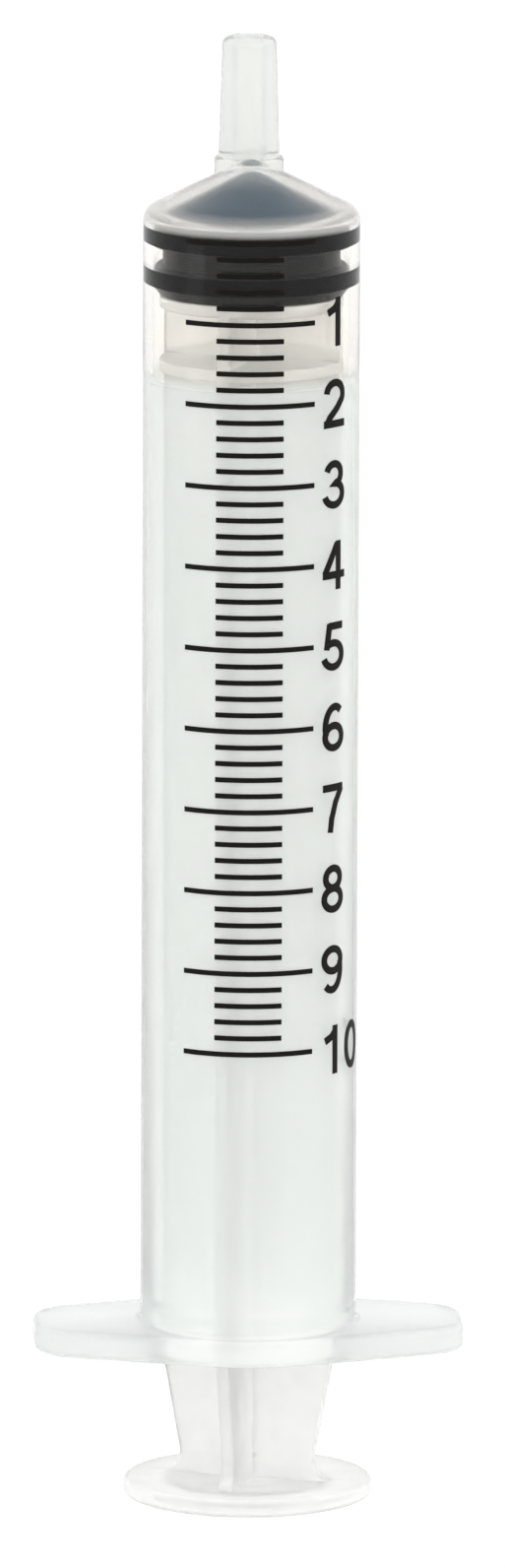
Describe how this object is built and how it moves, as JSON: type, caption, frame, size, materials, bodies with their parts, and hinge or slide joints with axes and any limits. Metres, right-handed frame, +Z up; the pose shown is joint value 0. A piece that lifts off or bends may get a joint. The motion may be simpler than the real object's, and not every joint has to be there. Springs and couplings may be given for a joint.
{
  "type": "eccentric tip syringe",
  "caption": "Clear plastic syringe standing on its thumb rest, with an off-centre slip tip, a black rubber stopper, a ribbed plunger, a finger flange and a printed volume scale.",
  "frame": {"origin": "centre of the thumb rest's underside, on the surface that the syringe stands on", "axes": "+Z up along the barrel towards the tip, X along the finger flange, -Y faces the printed scale, +Y is the side that the tip is offset to"},
  "size_m": [0.0318, 0.0188, 0.1089],
  "materials": {
    "barrel_plastic": "clear, slightly milky, moulded",
    "stopper_rubber": "smooth, silicone-wetted",
    "plunger_plastic": "translucent, moulded",
    "scale_ink": "printed"
  },
  "bodies": {
    "plunger": {"plunger": "plunger_plastic"},
    "stopper": {"stopper": "stopper_rubber"},
    "barrel": {"barrel": "barrel_plastic", "scale_long_marks": "scale_ink", "scale_short_marks": "scale_ink"}
  },
  "joints": [
    {"name": "plunger_turn", "type": "hinge", "parent": "plunger", "child": "stopper", "pos_m": [0, 0, 0.0925], "axis": [0, 0, 1], "continuous": true},
    {"name": "plunger_stroke", "type": "slide", "parent": "stopper", "child": "barrel", "axis": [0, 0, 1], "range_m": [0, 0.0755]}
  ]
}
